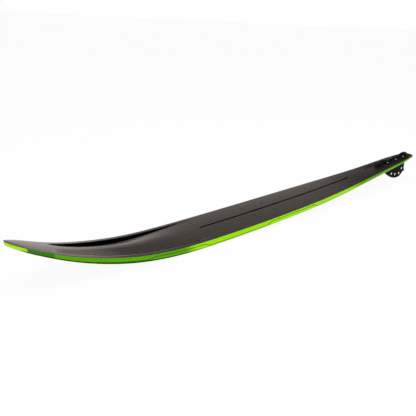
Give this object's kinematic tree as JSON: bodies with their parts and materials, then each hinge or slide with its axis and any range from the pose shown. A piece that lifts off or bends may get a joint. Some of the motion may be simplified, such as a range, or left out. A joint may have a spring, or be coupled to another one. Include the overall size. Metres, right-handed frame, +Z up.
{
  "type": "slalom water ski",
  "caption": "Long tapered slalom water ski with upturned cupped shovel, grooved dark deck, bright green base, and a drilled tail fin in an adjustable screw-set fin box.",
  "frame": {"origin": "on the floor under the middle of the box around the whole part", "axes": "+X along the ski to its tip, +Y across it to the rider's left, +Z up. The part stands as in the picture, on the lowest point of its fin and on its base under the forebody."},
  "size_m": [1.7142, 0.176, 0.1305],
  "materials": {
    "deck_laminate": "satin dark grey-brown laminate, paler on the shovel",
    "base_laminate": "glossy bright green laminate",
    "foam": "rigid closed-cell foam",
    "black_metal": "black anodised, satin",
    "steel": "bright stainless steel",
    "insert_metal": "darkened brass",
    "rubber": "matt black rubber sheet"
  },
  "bodies": {
    "ski": {"top_deck": "deck_laminate", "foam_core": "foam", "base_shell": "base_laminate", "box_gasket": "rubber", "clamp_rail_left": "black_metal", "clamp_rail_right": "black_metal", "length_bracket": "black_metal", "front_binding_insert_left_1": "insert_metal", "front_binding_insert_left_2": "insert_metal", "front_binding_insert_left_3": "insert_metal", "front_binding_insert_right_1": "insert_metal", "front_binding_insert_right_2": "insert_metal", "front_binding_insert_right_3": "insert_metal", "rear_binding_insert_left_1": "insert_metal", "rear_binding_insert_left_2": "insert_metal", "rear_binding_insert_left_3": "insert_metal", "rear_binding_insert_right_1": "insert_metal", "rear_binding_insert_right_2": "insert_metal", "rear_binding_insert_right_3": "insert_metal", "box_insert_left_1": "insert_metal", "box_insert_left_2": "insert_metal", "box_insert_left_3": "insert_metal", "box_insert_left_4": "insert_metal", "box_insert_right_1": "insert_metal", "box_insert_right_2": "insert_metal", "box_insert_right_3": "insert_metal", "box_insert_right_4": "insert_metal", "box_screw_left_1": "steel", "box_screw_left_2": "steel", "box_screw_left_3": "steel", "box_screw_left_4": "steel", "box_screw_right_1": "steel", "box_screw_right_2": "steel", "box_screw_right_3": "steel", "box_screw_right_4": "steel"},
    "carriage": {"front_saddle": "black_metal", "rear_saddle": "black_metal"},
    "fin": {"fin_blade": "black_metal", "front_depth_nut": "steel", "rear_depth_nut": "steel"},
    "length_screw": {"length_screw": "steel", "length_screw_clip": "steel"},
    "front_depth_screw": {"front_depth_screw": "steel"},
    "rear_depth_screw": {"rear_depth_screw": "steel"},
    "clamp_screw_1": {"clamp_screw_1": "steel"},
    "clamp_screw_2": {"clamp_screw_2": "steel"},
    "clamp_screw_3": {"clamp_screw_3": "steel"},
    "clamp_screw_4": {"clamp_screw_4": "steel"}
  },
  "joints": [
    {"name": "fin_length", "type": "slide", "parent": "ski", "child": "carriage", "axis": [0.9951, 0, -0.0984], "range_m": [-0.004, 0.004]},
    {"name": "fin_depth", "type": "slide", "parent": "carriage", "child": "fin", "axis": [0.0984, 0, 0.9951], "range_m": [-0.002, 0.002]},
    {"name": "length_screw_turn", "type": "hinge", "parent": "ski", "child": "length_screw", "pos_m": [-0.61951, 0, 0.08118], "axis": [0.9951, 0, -0.0984], "range_deg": [-1800, 1800]},
    {"name": "front_depth_screw_turn", "type": "hinge", "parent": "carriage", "child": "front_depth_screw", "pos_m": [-0.68288, 0, 0.09176], "axis": [0.0984, 0, 0.9951], "range_deg": [-900, 900]},
    {"name": "rear_depth_screw_turn", "type": "hinge", "parent": "carriage", "child": "rear_depth_screw", "pos_m": [-0.80905, 0, 0.10635], "axis": [0.0984, 0, 0.9951], "range_deg": [-900, 900]},
    {"name": "clamp_screw_1_turn", "type": "hinge", "parent": "ski", "child": "clamp_screw_1", "pos_m": [-0.75716, 0.0012, 0.0972], "axis": [0, 1, 0], "range_deg": [0, 360]},
    {"name": "clamp_screw_2_turn", "type": "hinge", "parent": "ski", "child": "clamp_screw_2", "pos_m": [-0.74522, 0.0012, 0.09602], "axis": [0, 1, 0], "range_deg": [0, 360]},
    {"name": "clamp_screw_3_turn", "type": "hinge", "parent": "ski", "child": "clamp_screw_3", "pos_m": [-0.72134, 0.0012, 0.09366], "axis": [0, 1, 0], "range_deg": [0, 360]},
    {"name": "clamp_screw_4_turn", "type": "hinge", "parent": "ski", "child": "clamp_screw_4", "pos_m": [-0.7094, 0.0012, 0.09248], "axis": [0, 1, 0], "range_deg": [0, 360]}
  ],
  "couplings": [
    {"joint": "length_screw_turn", "follows": "fin_length", "rad_per_m": -7854},
    {"joint": "front_depth_screw_turn", "follows": "fin_depth", "rad_per_m": -7854},
    {"joint": "rear_depth_screw_turn", "follows": "fin_depth", "rad_per_m": -7854}
  ]
}
